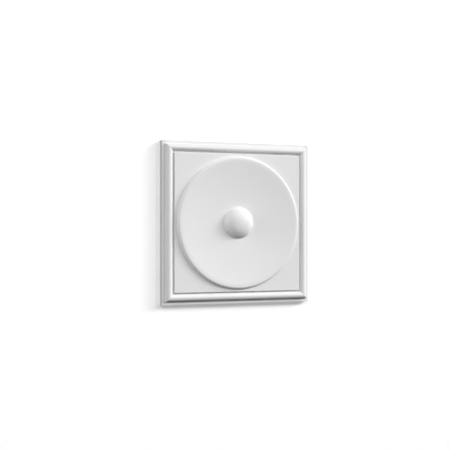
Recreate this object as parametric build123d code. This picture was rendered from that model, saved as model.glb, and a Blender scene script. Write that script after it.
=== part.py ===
from build123d import *
import os

# Square relief panel for a wall, cast in one piece.
# A flat slab carries a half-round bead, mitred at its four corners.
# Inside the bead a narrow quirk runs round a raised square field.
# A round rosette stands on the field: a rounded lip, a wide shallow dish and a domed boss.
#
# The back of the slab lies on the wall, which is the plane y = 0, and the face looks along -Y.
# The origin is the middle of the back, and +Z is up.
# The panel is drawn lying on its back, with heights measured out from the wall,
# and is stood up at the end.

# Slab
panel_side = 300.0
slab_thickness = 11.6
slab_edge_radius = 0.4

# Bead round the slab, a half-round on short upright sides
rim_width = 6.0
bead_width = 13.6
bead_height = 8.0

# Raised field inside the bead, and the narrow quirk between them
quirk_width = 2.7
quirk_height = 13.4
field_height = 17.9
field_edge_radius = 0.3

# Rosette, whose lip has a flat land and then rounds over in two arcs, a tight brow and a slower side
rosette_radius = 124.0
lip_height = 23.6
lip_land = 3.8
lip_round_width = 4.6
lip_brow_width = 2.3
lip_brow_height = 1.0
dish_floor_height = 17.4

# Boss in the middle of the dish, with a flatter crown and a rounder shoulder
boss_radius = 29.4
boss_rise = 14.4
crown_reach = 14.7
crown_sphere_radius = 58.0

# How far one form is let into the next, so that they join as solids
embed_depth = 4.0

# Sizes worked out from the ones above
half_side = panel_side / 2
bead_outer = half_side - rim_width
bead_inner = bead_outer - bead_width
bead_middle = (bead_outer + bead_inner) / 2
field_half = bead_inner - quirk_width
lip_crest_radius = rosette_radius - lip_round_width
dish_radius = lip_crest_radius - lip_land
seat_height = dish_floor_height - embed_depth

# The dish is part of a sphere that passes through its floor and its edge
dish_sag = lip_height - dish_floor_height
dish_sphere_radius = (dish_radius**2 + dish_sag**2) / (2 * dish_sag)


def dish_height(radius):
    """Height of the dish above the wall, at a distance from the axis."""
    drop = (dish_sphere_radius**2 - radius**2) ** 0.5
    return dish_floor_height + dish_sphere_radius - drop


def make_slab():
    """Flat slab with its front edges just broken."""
    slab = Box(panel_side, panel_side, slab_thickness, align=(Align.CENTER, Align.CENTER, Align.MIN))
    front_edges = slab.faces().sort_by(Axis.Z)[-1].edges()
    return fillet(front_edges, slab_edge_radius)


def make_bead():
    """Half-round bead as four rails, each cut to 45 degrees at both ends."""
    spring_height = slab_thickness + bead_height - bead_width / 2
    sunk = slab_thickness - embed_depth
    inner_spring = (bead_inner, spring_height)
    outer_spring = (bead_outer, spring_height)
    outline = ThreePointArc(inner_spring, (bead_middle, slab_thickness + bead_height), outer_spring)
    outline += Polyline(outer_spring, (bead_outer, sunk), (bead_inner, sunk), inner_spring)
    section = make_face(Plane.YZ * outline)
    rail = extrude(section, amount=half_side, both=True)
    mitre_outline = Polyline((0, 0), (half_side, half_side), (-half_side, half_side), close=True)
    mitre = extrude(make_face(mitre_outline), amount=field_height + bead_height)
    rail = rail & mitre
    return [Rot(0, 0, 90 * quarter) * rail for quarter in range(4)]


def make_square_step(half_width, height):
    """Square step that rises to the given height and is let into the slab."""
    sunk = slab_thickness - embed_depth
    step = Box(2 * half_width, 2 * half_width, height - sunk, align=(Align.CENTER, Align.CENTER, Align.MIN))
    return Pos(0, 0, sunk) * step


def make_field():
    """Raised square field with softened edges, on the bed that makes the floor of the quirk."""
    bed = make_square_step(bead_inner, quirk_height)
    field = make_square_step(field_half, field_height)
    front_edges = field.faces().sort_by(Axis.Z)[-1].edges()
    return bed + fillet(front_edges, field_edge_radius)


def make_rosette():
    """Rosette as one turned form: boss, dish and lip, down to its seat in the panel."""
    boss_foot = (boss_radius, dish_height(boss_radius))
    boss_top = (0, boss_foot[1] + boss_rise)
    crown_drop = crown_sphere_radius - (crown_sphere_radius**2 - crown_reach**2) ** 0.5
    crown_edge = (crown_reach, boss_top[1] - crown_drop)
    dish_middle_radius = (boss_radius + dish_radius) / 2
    dish_middle = (dish_middle_radius, dish_height(dish_middle_radius))
    dish_edge = (dish_radius, lip_height)
    lip_crest = (lip_crest_radius, lip_height)
    brow_edge = (lip_crest_radius + lip_brow_width, lip_height - lip_brow_height)
    lip_foot = (rosette_radius, field_height)
    seat_edge = (rosette_radius, seat_height)
    axis_foot = (0, seat_height)

    crown = TangentArc(boss_top, crown_edge, tangent=(1, 0))
    shoulder = TangentArc(crown_edge, boss_foot, tangent=crown % 1)
    dish = ThreePointArc(boss_foot, dish_middle, dish_edge)
    land = Line(dish_edge, lip_crest)
    brow = TangentArc(lip_crest, brow_edge, tangent=(1, 0))
    side = TangentArc(brow_edge, lip_foot, tangent=brow % 1)
    seat = Polyline(lip_foot, seat_edge, axis_foot, boss_top)
    profile = crown + shoulder + dish + land + brow + side + seat
    return revolve(make_face(Plane.XZ * profile), axis=Axis.Z)


def make_panel():
    """The whole casting, stood up with its back on the wall."""
    casting = make_slab() + make_field() + make_bead()
    seat = Pos(0, 0, seat_height) * Cylinder(
        rosette_radius, field_height, align=(Align.CENTER, Align.CENTER, Align.MIN)
    )
    casting = casting - seat + make_rosette()
    return Plane.XZ * casting


os.makedirs("parts", exist_ok=True)
panel = make_panel()
panel.label = "relief_panel"
export_step(panel, "parts/relief_panel.step")
print("solids:", len(panel.solids()), "volume cm3:", round(panel.volume / 1000, 1))
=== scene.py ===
"""Looks of the cast relief panel: one moulded block with a mitred bead and a dished rosette.

The panel hangs on the plane y = 0 and faces -Y. Its origin is the middle of its back, and +Z is up.
Sizes in the classes are millimetres, and everything handed to Blender is metres.
"""

import logging
import math
from dataclasses import dataclass, field
from enum import Enum
from itertools import pairwise
from typing import Any

import bpy
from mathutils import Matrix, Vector


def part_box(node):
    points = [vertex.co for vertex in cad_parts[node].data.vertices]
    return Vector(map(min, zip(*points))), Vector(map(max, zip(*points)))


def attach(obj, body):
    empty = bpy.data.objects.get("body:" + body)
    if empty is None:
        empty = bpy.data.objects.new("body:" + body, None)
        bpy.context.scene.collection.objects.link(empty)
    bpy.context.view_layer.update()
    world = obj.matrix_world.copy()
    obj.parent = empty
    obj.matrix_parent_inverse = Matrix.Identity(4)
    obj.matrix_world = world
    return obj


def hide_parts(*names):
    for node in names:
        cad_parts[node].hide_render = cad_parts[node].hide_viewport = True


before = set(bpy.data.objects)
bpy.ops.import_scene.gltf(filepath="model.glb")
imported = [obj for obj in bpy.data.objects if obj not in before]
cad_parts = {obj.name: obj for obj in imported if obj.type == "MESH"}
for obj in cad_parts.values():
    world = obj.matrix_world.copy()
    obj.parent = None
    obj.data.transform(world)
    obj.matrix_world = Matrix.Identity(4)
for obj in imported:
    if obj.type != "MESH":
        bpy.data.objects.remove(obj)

LOG = logging.getLogger("relief_panel")
PANEL_NODE = "relief_panel"
ROOT_BODY = "root"

MM = 0.001
MERGE_DISTANCE = 0.001 * MM
SMOOTH_ANGLE = math.radians(30)
FULL_TURN = 2 * math.pi
QUARTER_TURN = math.pi / 2

Point = tuple[float, float]

# Sockets of the Mix node, which has a set for numbers and a set for colours
MIX_FACTOR, FLOAT_A, FLOAT_B, COLOUR_A, COLOUR_B = 0, 2, 3, 6, 7
FLOAT_RESULT, COLOUR_RESULT = 0, 2

# Octaves that a noise has on top of its main scale
NOISE_DETAIL = 2.0


class Sweep(Enum):
    """How a section is carried round the panel's axis: the steps in a turn, and where it starts."""

    MITRED = (4, Vector((1, 0, 1)))
    TURNED = (288, Vector((1, 0, 0)))

    @property
    def steps(self) -> int:
        """Number of copies of the section in a full turn."""
        return self.value[0]

    @property
    def start(self) -> Vector:
        """Direction, away from the axis, in which the section is drawn."""
        return self.value[1]


def linear(hex_colour: str) -> tuple[float, float, float, float]:
    """Turns an sRGB colour into Blender's linear one.

    Args:
        hex_colour: Six hex digits after a hash sign.

    Returns:
        Red, green, blue and alpha, from 0 to 1.
    """
    channels = [int(hex_colour[i : i + 2], 16) / 255 for i in (1, 3, 5)]
    # The sRGB curve is straight in its darkest tones and a power above them
    red, green, blue = [c / 12.92 if c <= 0.04045 else ((c + 0.055) / 1.055) ** 2.4 for c in channels]
    return red, green, blue, 1.0


@dataclass
class Section:
    """Outline of a moulding, as distances from the panel's axis and heights out from the wall."""

    points: list[Point] = field(default_factory=list)

    def line(self, *stops: Point) -> None:
        """Adds straight runs through the given points.

        Args:
            stops: Distance and height of each point, in millimetres.
        """
        self.points.extend(stops)

    def arc(self, centre: Point, radius: float, start: float, end: float, steps: int) -> None:
        """Adds a round arc, with both of its ends.

        Args:
            centre: Distance and height of the middle of the arc, in millimetres.
            radius: Its radius, in millimetres.
            start: Angle at which the arc starts, measured from straight outwards.
            end: Angle at which it ends.
            steps: Number of straight runs that stand for it.
        """
        for step in range(steps + 1):
            angle = start + (end - start) * step / steps
            self.line((centre[0] + radius * math.cos(angle), centre[1] + radius * math.sin(angle)))

    def bend(self, end: Point, heading: float, steps: int) -> float:
        """Adds a round arc that leaves the last point in a given direction.

        Args:
            end: Distance and height of the arc's end, in millimetres.
            heading: Direction in which it leaves, as an angle from straight outwards.
            steps: Number of straight runs that stand for it.

        Returns:
            The direction in which it arrives.
        """
        start = self.points[-1]
        half_turn = math.atan2(end[1] - start[1], end[0] - start[0]) - heading
        radius = math.dist(start, end) / (2 * math.sin(half_turn))
        centre = (start[0] - radius * math.sin(heading), start[1] + radius * math.cos(heading))
        for step in range(1, steps + 1):
            angle = heading + 2 * half_turn * step / steps
            self.line((centre[0] + radius * math.sin(angle), centre[1] - radius * math.cos(angle)))
        return heading + 2 * half_turn


def deselect_all() -> None:
    """Leaves nothing selected, so that an operator acts on the new piece alone."""
    bpy.ops.object.select_all(action="DESELECT")


def carry_round(name: str, section: Section, sweep: Sweep) -> bpy.types.Object:
    """Draws a section from one vertex and spins it round the panel's axis.

    Args:
        name: Name of the new object.
        section: Outline of the moulding.
        sweep: Mitred into a square, or turned.

    Returns:
        The open shell, with its place in its mesh.
    """
    places = [
        sweep.start * distance * MM + Vector((0, -height * MM, 0)) for distance, height in section.points
    ]
    deselect_all()
    bpy.ops.mesh.primitive_plane_add(size=MM, location=places[0])
    shell = bpy.context.object
    shell.name = shell.data.name = name
    bpy.ops.object.mode_set(mode="EDIT")
    bpy.ops.mesh.merge(type="CENTER")
    for before, after in pairwise(places):
        bpy.ops.mesh.extrude_vertices_move(TRANSFORM_OT_translate={"value": after - before})
    bpy.ops.mesh.select_all(action="SELECT")
    bpy.ops.mesh.spin(steps=sweep.steps, angle=FULL_TURN, center=(0, 0, 0), axis=(0, 1, 0))
    bpy.ops.mesh.select_all(action="SELECT")
    bpy.ops.mesh.remove_doubles(threshold=MERGE_DISTANCE)
    bpy.ops.object.mode_set(mode="OBJECT")
    bpy.ops.object.transform_apply(location=True, rotation=True, scale=True)
    return shell


@dataclass
class BeadedBlock:
    """Slab with a mitred half-round bead, a quirk and the edge of the raised field."""

    half_side: float
    slab_thickness: float = 11.6
    slab_edge_radius: float = 0.4
    rim_width: float = 6.0
    bead_width: float = 13.6
    bead_height: float = 8.0
    quirk_width: float = 2.7
    quirk_height: float = 13.4
    field_height: float = 17.9
    field_edge_radius: float = 0.3
    # Flat strip beside each rounded edge, so that the smooth shading of the edge ends there
    border: float = 0.4
    bead_steps: int = 20
    edge_steps: int = 4

    @property
    def bead_outer(self) -> float:
        """Distance from the axis to the outer foot of the bead."""
        return self.half_side - self.rim_width

    @property
    def bead_inner(self) -> float:
        """Distance from the axis to the inner foot of the bead."""
        return self.bead_outer - self.bead_width

    @property
    def field_half(self) -> float:
        """Half the width of the raised field."""
        return self.bead_inner - self.quirk_width

    def section(self) -> Section:
        """Outline from the middle of the back, round the edge, to the border of the field.

        Returns:
            The section, which leaves the field open for the rosette.
        """
        outline = Section()
        outline.line((0, 0), (self.half_side, 0))
        edge = self.slab_edge_radius
        edge_centre = (self.half_side - edge, self.slab_thickness - edge)
        outline.line((self.half_side, edge_centre[1] - self.border))
        outline.arc(edge_centre, edge, 0, QUARTER_TURN, self.edge_steps)
        outline.line((edge_centre[0] - self.border, self.slab_thickness))
        half_width = self.bead_width / 2
        stilt = self.bead_height - half_width
        outline.line((self.bead_outer, self.slab_thickness))
        bead_centre = (self.bead_outer - half_width, self.slab_thickness + stilt)
        outline.arc(bead_centre, half_width, 0, math.pi, self.bead_steps)
        outline.line((self.bead_inner, self.quirk_height), (self.field_half, self.quirk_height))
        edge = self.field_edge_radius
        edge_centre = (self.field_half - edge, self.field_height - edge)
        outline.line((self.field_half, edge_centre[1] - self.border))
        outline.arc(edge_centre, edge, 0, QUARTER_TURN, self.edge_steps)
        outline.line((edge_centre[0] - self.border, self.field_height))
        return outline

    def build(self) -> bpy.types.Object:
        """Runs the section round the square, with a mitre at each corner.

        Returns:
            The block, open where the rosette goes.
        """
        return carry_round("beaded_block", self.section(), Sweep.MITRED)


@dataclass
class Rosette:
    """Turned rosette: a domed boss in a wide shallow dish with a rounded lip."""

    field_height: float
    radius: float = 124.0
    lip_height: float = 23.6
    lip_land: float = 3.8
    lip_round_width: float = 4.6
    lip_brow_width: float = 2.3
    lip_brow_height: float = 1.0
    dish_floor_height: float = 17.4
    boss_radius: float = 29.4
    boss_rise: float = 14.4
    crown_reach: float = 14.7
    crown_sphere_radius: float = 58.0
    # Strip of the field round the lip, so that the field beyond it is shaded flat
    border: float = 0.4
    crown_steps: int = 12
    shoulder_steps: int = 20
    dish_steps: int = 24
    brow_steps: int = 8
    side_steps: int = 6

    @property
    def crest_radius(self) -> float:
        """Distance from the axis at which the lip starts to round over."""
        return self.radius - self.lip_round_width

    @property
    def dish_radius(self) -> float:
        """Distance from the axis to the edge of the dish."""
        return self.crest_radius - self.lip_land

    def dish_height(self, distance: float) -> float:
        """Height of the dish, which is part of a sphere.

        Args:
            distance: Distance from the axis, in millimetres.

        Returns:
            Height out from the wall, in millimetres.
        """
        sag = self.lip_height - self.dish_floor_height
        sphere = (self.dish_radius**2 + sag**2) / (2 * sag)
        return self.dish_floor_height + sphere - math.sqrt(sphere**2 - distance**2)

    def draw_boss(self, outline: Section) -> None:
        """Adds the boss: a crown of large radius, and a shoulder that leaves it smoothly.

        Args:
            outline: The section to add to.
        """
        foot = (self.boss_radius, self.dish_height(self.boss_radius))
        top = foot[1] + self.boss_rise
        sphere = self.crown_sphere_radius
        crown_drop = sphere - math.sqrt(sphere**2 - self.crown_reach**2)
        outline.line((0, top))
        heading = outline.bend((self.crown_reach, top - crown_drop), 0, self.crown_steps)
        outline.bend(foot, heading, self.shoulder_steps)

    def draw_dish(self, outline: Section) -> None:
        """Adds the dish, from the foot of the boss to the land of the lip.

        Args:
            outline: The section to add to.
        """
        run = self.dish_radius - self.boss_radius
        for step in range(1, self.dish_steps + 1):
            distance = self.boss_radius + run * step / self.dish_steps
            outline.line((distance, self.dish_height(distance)))

    def draw_lip(self, outline: Section) -> None:
        """Adds the lip: its flat land, its round in two arcs, and a border of the field at its foot.

        Args:
            outline: The section to add to.
        """
        outline.line((self.crest_radius, self.lip_height))
        brow_edge = (self.crest_radius + self.lip_brow_width, self.lip_height - self.lip_brow_height)
        heading = outline.bend(brow_edge, 0, self.brow_steps)
        outline.bend((self.radius, self.field_height), heading, self.side_steps)
        outline.line((self.radius + self.border, self.field_height))

    def section(self) -> Section:
        """Outline from the top of the boss to the field round the rosette.

        Returns:
            The section of the rosette.
        """
        outline = Section()
        self.draw_boss(outline)
        self.draw_dish(outline)
        self.draw_lip(outline)
        return outline

    def build(self) -> bpy.types.Object:
        """Turns the section round the axis.

        Returns:
            The face of the rosette, with a narrow border of the field.
        """
        return carry_round("rosette", self.section(), Sweep.TURNED)


def add_node(
    tree: bpy.types.NodeTree,
    kind: str,
    settings: dict[str | int, Any] | None = None,
    links: dict[str | int, bpy.types.NodeSocket] | None = None,
) -> bpy.types.Node:
    """Adds a node with its settings and links.

    Args:
        tree: The node tree to add to.
        kind: Blender's name for the type of node.
        settings: Properties of the node by name, and values of its sockets by name or number.
        links: Output sockets to join to the node's inputs, by the input's name or number.

    Returns:
        The new node.
    """
    node = tree.nodes.new(kind)
    for name, value in (settings or {}).items():
        if isinstance(name, str) and hasattr(node, name):
            setattr(node, name, value)
        else:
            node.inputs[name].default_value = value
    for name, output in (links or {}).items():
        tree.links.new(output, node.inputs[name])
    return node


def new_material(name: str) -> tuple[bpy.types.Material, bpy.types.NodeTree, bpy.types.Node]:
    """Starts a material with nothing in it but its output.

    Args:
        name: Name of the material.

    Returns:
        The material, its node tree and its output node.
    """
    material = bpy.data.materials.new(name)
    material.use_nodes = True
    tree = material.node_tree
    tree.nodes.clear()
    return material, tree, add_node(tree, "ShaderNodeOutputMaterial")


@dataclass(frozen=True)
class SatinPaint:
    """White satin paint, sprayed over primer on a rigid moulded polyurethane casting.

    The eye sees an even neutral white and a broad soft sheen on the rounds. The back is bare primer,
    which is matt and a little warmer.
    """

    face: str = "#EDEDED"
    face_shade: str = "#EBEBEB"
    back: str = "#E4E2DD"
    back_shade: str = "#DDDAD4"
    shade_patch: float = 90.0
    # The pebble that a spray gun leaves is finer than a pixel from the photograph's place, where the
    # paint looks quite smooth. It shows from close to.
    pebble: float = 1.6
    pebble_depth: float = 0.01
    smoothest: float = 0.47
    roughest: float = 0.53
    back_roughness: float = 0.85
    # Depth over which a face counts as the back
    back_skin: float = 0.05
    refraction: float = 1.5

    def colour(
        self, tree: bpy.types.NodeTree, patches: bpy.types.NodeSocket, on_back: bpy.types.NodeSocket
    ) -> bpy.types.NodeSocket:
        """Gives the colour, which drifts a little from patch to patch.

        Args:
            tree: The material's node tree.
            patches: Noise of large patches.
            on_back: 1 on the back and 0 elsewhere.

        Returns:
            The colour.
        """
        face, back = (
            add_node(
                tree,
                "ShaderNodeMix",
                {"data_type": "RGBA", COLOUR_A: linear(light), COLOUR_B: linear(dark)},
                {MIX_FACTOR: patches},
            ).outputs[COLOUR_RESULT]
            for light, dark in ((self.face, self.face_shade), (self.back, self.back_shade))
        )
        return add_node(
            tree,
            "ShaderNodeMix",
            {"data_type": "RGBA"},
            {MIX_FACTOR: on_back, COLOUR_A: face, COLOUR_B: back},
        ).outputs[COLOUR_RESULT]

    def roughness(
        self, tree: bpy.types.NodeTree, pebble: bpy.types.NodeSocket, on_back: bpy.types.NodeSocket
    ) -> bpy.types.NodeSocket:
        """Gives the roughness, which follows the pebble on the face and is even on the back.

        Args:
            tree: The material's node tree.
            pebble: Noise of the pebble.
            on_back: 1 on the back and 0 elsewhere.

        Returns:
            The roughness.
        """
        sheen = add_node(
            tree,
            "ShaderNodeMapRange",
            {"To Min": self.smoothest, "To Max": self.roughest},
            {"Value": pebble},
        ).outputs["Result"]
        return add_node(
            tree,
            "ShaderNodeMix",
            {FLOAT_B: self.back_roughness},
            {MIX_FACTOR: on_back, FLOAT_A: sheen},
        ).outputs[FLOAT_RESULT]

    def material(self) -> bpy.types.Material:
        """Makes the finish, in the piece's own object coordinates.

        Returns:
            The material of the whole panel.
        """
        material, tree, output = new_material("satin_painted_polyurethane")
        place = add_node(tree, "ShaderNodeTexCoord").outputs["Object"]
        patches, pebble = (
            add_node(
                tree,
                "ShaderNodeTexNoise",
                {"Scale": 1 / (size * MM), "Detail": NOISE_DETAIL},
                {"Vector": place},
            ).outputs["Fac"]
            for size in (self.shade_patch, self.pebble)
        )
        depth = add_node(tree, "ShaderNodeSeparateXYZ", links={0: place}).outputs["Y"]
        on_back = add_node(
            tree, "ShaderNodeMath", {"operation": "GREATER_THAN", 1: -self.back_skin * MM}, {0: depth}
        ).outputs[0]
        relief = add_node(
            tree, "ShaderNodeBump", {"Distance": self.pebble_depth * MM}, {"Height": pebble}
        ).outputs["Normal"]
        paint = add_node(
            tree,
            "ShaderNodeBsdfPrincipled",
            {"IOR": self.refraction},
            {
                "Base Color": self.colour(tree, patches, on_back),
                "Roughness": self.roughness(tree, pebble, on_back),
                "Normal": relief,
            },
        )
        tree.links.new(paint.outputs["BSDF"], output.inputs["Surface"])
        return material


def seen_rays(tree: bpy.types.NodeTree) -> bpy.types.NodeSocket:
    """Tells the rays that look at the backdrop from those that gather its light on the panel.

    Args:
        tree: Node tree of the backdrop or of the world.

    Returns:
        A socket that is 1 for the camera and for what metal or glass would show.
    """
    ray = add_node(tree, "ShaderNodeLightPath").outputs
    seen = ray["Is Camera Ray"]
    for kind in ("Is Glossy Ray", "Is Transmission Ray"):
        either = add_node(tree, "ShaderNodeMath", {"operation": "MAXIMUM"}, {0: seen, 1: ray[kind]})
        seen = either.outputs[0]
    return seen


@dataclass(frozen=True)
class StudioPaper:
    """White backdrop paper, bright to the camera and dim to the panel, whose sides stay dark.

    Its underside is clear, so that the panel can be looked at from behind and from below as well.
    """

    name: str
    # The colour whose light falls on the panel
    bounce: str
    # The colour that the camera sees, and the light that brings it up to white away from the shadow
    seen: str = "#F3F3F3"
    lift: float = 0.35

    def material(self) -> bpy.types.Material:
        """Makes the paper's finish.

        Returns:
            A matt white with a lift that only the camera, glass and metal see.
        """
        material, tree, output = new_material(self.name)
        bright = add_node(tree, "ShaderNodeBsdfDiffuse", {"Color": linear(self.seen)})
        lift = add_node(tree, "ShaderNodeEmission", {"Strength": self.lift})
        lifted = add_node(tree, "ShaderNodeAddShader", links={0: bright.outputs[0], 1: lift.outputs[0]})
        dim = add_node(tree, "ShaderNodeBsdfDiffuse", {"Color": linear(self.bounce)})
        face = add_node(
            tree,
            "ShaderNodeMixShader",
            links={0: seen_rays(tree), 1: dim.outputs[0], 2: lifted.outputs[0]},
        )
        under = add_node(tree, "ShaderNodeNewGeometry").outputs["Backfacing"]
        clear = add_node(tree, "ShaderNodeBsdfTransparent")
        sheet = add_node(
            tree, "ShaderNodeMixShader", links={0: under, 1: face.outputs[0], 2: clear.outputs[0]}
        )
        tree.links.new(sheet.outputs[0], output.inputs["Surface"])
        return material


@dataclass
class ReliefPanel:
    """The whole casting: the beaded block with its rosette, as one closed shell."""

    block: BeadedBlock
    rosette: Rosette
    paint: SatinPaint

    def close_field(self) -> None:
        """Fills the field between the rosette and the block, and turns every face outwards."""
        bpy.ops.object.mode_set(mode="EDIT")
        bpy.ops.mesh.select_mode(type="EDGE")
        bpy.ops.mesh.select_all(action="DESELECT")
        bpy.ops.mesh.select_non_manifold(
            use_wire=False,
            use_boundary=True,
            use_multi_face=False,
            use_non_contiguous=False,
            use_verts=False,
        )
        bpy.ops.mesh.fill(use_beauty=True)
        bpy.ops.mesh.select_all(action="SELECT")
        bpy.ops.mesh.normals_make_consistent(inside=False)
        bpy.ops.mesh.select_all(action="DESELECT")
        bpy.ops.object.mode_set(mode="OBJECT")

    def sharpen_mitres(self, casting: bpy.types.Object) -> None:
        """Keeps the four mitres as crisp lines, from the corners of the slab to those of the field.

        Args:
            casting: The closed shell.
        """
        mesh = casting.data
        inner = (self.block.field_half - self.block.field_edge_radius) * MM
        for edge in mesh.edges:
            ends = [mesh.vertices[index].co for index in edge.vertices]
            on_diagonal = all(abs(abs(end.x) - abs(end.z)) < MERGE_DISTANCE for end in ends)
            edge.select = on_diagonal and all(abs(end.x) > inner for end in ends)
        bpy.ops.object.mode_set(mode="EDIT")
        bpy.ops.mesh.mark_sharp()
        bpy.ops.mesh.select_all(action="DESELECT")
        bpy.ops.object.mode_set(mode="OBJECT")

    def build(self) -> bpy.types.Object:
        """Models the casting and gives it its finish.

        Returns:
            The finished piece, which stands for the panel's node and hides that node's own mesh.
        """
        block = self.block.build()
        rosette = self.rosette.build()
        deselect_all()
        rosette.select_set(True)
        block.select_set(True)
        bpy.context.view_layer.objects.active = block
        bpy.ops.object.join()
        casting = bpy.context.object
        casting.name = casting.data.name = "relief_panel_casting"
        self.close_field()
        bpy.ops.object.shade_smooth_by_angle(angle=SMOOTH_ANGLE)
        self.sharpen_mitres(casting)
        casting.data.materials.append(self.paint.material())
        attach(casting, ROOT_BODY)
        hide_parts(PANEL_NODE)
        return casting


@dataclass(frozen=True)
class FarLamp:
    """One lamp, far enough off for its light to be even all over the panel."""

    name: str
    # Degrees from straight in front of the panel, positive to its right
    azimuth: float
    # Degrees above the horizon
    elevation: float
    # Watts on a square metre that faces the lamp
    strength: float
    # Degrees from side to side of the lamp: the wider it is, the softer its light
    spread: float = 28.0

    def direction(self) -> Vector:
        """Gives the unit vector from the panel towards the lamp."""
        turn, rise = math.radians(self.azimuth), math.radians(self.elevation)
        return Vector((math.sin(turn) * math.cos(rise), -math.cos(turn) * math.cos(rise), math.sin(rise)))

    def build(self) -> None:
        """Sets the lamp up."""
        lamp = bpy.data.lights.new(self.name, "SUN")
        lamp.energy = self.strength
        lamp.angle = math.radians(self.spread)
        stand = bpy.data.objects.new(self.name, lamp)
        stand.rotation_euler = self.direction().to_track_quat("Z", "Y").to_euler()
        bpy.context.scene.collection.objects.link(stand)


@dataclass
class Studio:
    """Wall, floor, lamps and camera round the panel."""

    stage_side: float = 12000.0
    # Keeps the wall and the panel's back from lying in one plane
    wall_gap: float = 0.5
    floor_height: float = -247.5
    wall_paper: StudioPaper = StudioPaper("white_wall_paper", bounce="#4A4A4A")
    floor_paper: StudioPaper = StudioPaper("white_floor_paper", bounce="#262626")
    room: str = "#FFFFFF"
    lens_length: float = 85.24
    film_width: float = 36.0
    camera_place: tuple[float, float, float] = (-836.3, -1818.7, -20.8)
    # Degrees by which the camera is turned to its right and tipped up
    camera_yaw: float = 24.181
    camera_pitch: float = 0.485
    # The lamps were matched to the photograph's light one by one. The last one lights the back.
    lamps: tuple[FarLamp, ...] = (
        FarLamp("key_inner", 55, 24, 0.55, spread=18),
        FarLamp("key_middle", 65, 24, 1.35, spread=18),
        FarLamp("key_outer", 75, 24, 1.00, spread=18),
        FarLamp("fill_right", 35, 24, 0.60, spread=18),
        FarLamp("fill_front", 25, 31, 0.40, spread=18),
        FarLamp("fill_left", -30, 30, 0.75),
        FarLamp("edge_left", -79, 9, 1.08),
        FarLamp("behind_wall", 180, 0, 2.60, spread=0),
    )

    def lay_paper(self, name: str, paper: StudioPaper, place: Vector, tilt: float) -> bpy.types.Object:
        """Lays one square sheet of backdrop paper.

        Args:
            name: Name of the sheet's object.
            paper: Its finish.
            place: Middle of the sheet, in millimetres.
            tilt: Angle by which the sheet is tipped up from level.

        Returns:
            The sheet.
        """
        deselect_all()
        bpy.ops.mesh.primitive_plane_add(
            size=self.stage_side * MM, location=place * MM, rotation=(tilt, 0, 0)
        )
        sheet = bpy.context.object
        sheet.name = sheet.data.name = name
        sheet.data.materials.append(paper.material())
        return sheet

    def build_room(self) -> None:
        """Makes the room round the stage white to look at and dark to the panel."""
        world = bpy.data.worlds.new("white_room")
        world.use_nodes = True
        tree = world.node_tree
        tree.nodes.clear()
        white = add_node(
            tree, "ShaderNodeBackground", {"Color": linear(self.room)}, {"Strength": seen_rays(tree)}
        )
        add_node(tree, "ShaderNodeOutputWorld", links={"Surface": white.outputs[0]})
        bpy.context.scene.world = world

    def build_camera(self) -> None:
        """Puts the camera where the photographer's stood."""
        lens = bpy.data.cameras.new("camera")
        lens.sensor_width = self.film_width
        lens.lens = self.lens_length
        camera = bpy.data.objects.new("camera", lens)
        bpy.context.scene.collection.objects.link(camera)
        camera.location = Vector(self.camera_place) * MM
        camera.rotation_euler = (
            QUARTER_TURN + math.radians(self.camera_pitch),
            0,
            -math.radians(self.camera_yaw),
        )
        bpy.context.scene.camera = camera

    def build(self) -> None:
        """Sets up the stage, the room, the lamps and the camera."""
        wall = self.lay_paper("wall", self.wall_paper, Vector((0, self.wall_gap, 0)), QUARTER_TURN)
        # Lets the lamp behind the wall reach the panel's back
        wall.visible_shadow = False
        self.lay_paper("floor", self.floor_paper, Vector((0, 0, self.floor_height)), 0)
        self.build_room()
        for lamp in self.lamps:
            lamp.build()
        self.build_camera()
        bpy.context.scene.view_settings.view_transform = "Standard"


def main() -> None:
    """Builds the panel and the studio round it."""
    logging.basicConfig(level=logging.INFO, format="%(name)s: %(message)s")
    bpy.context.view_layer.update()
    lowest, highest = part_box(PANEL_NODE)
    block = BeadedBlock(half_side=(highest.x - lowest.x) / 2 / MM)
    panel = ReliefPanel(block, Rosette(block.field_height), SatinPaint())
    casting = panel.build()
    LOG.info("%s has %d faces", casting.name, len(casting.data.polygons))
    Studio().build()
    LOG.info("studio is set up")


if __name__ == "__main__":
    main()
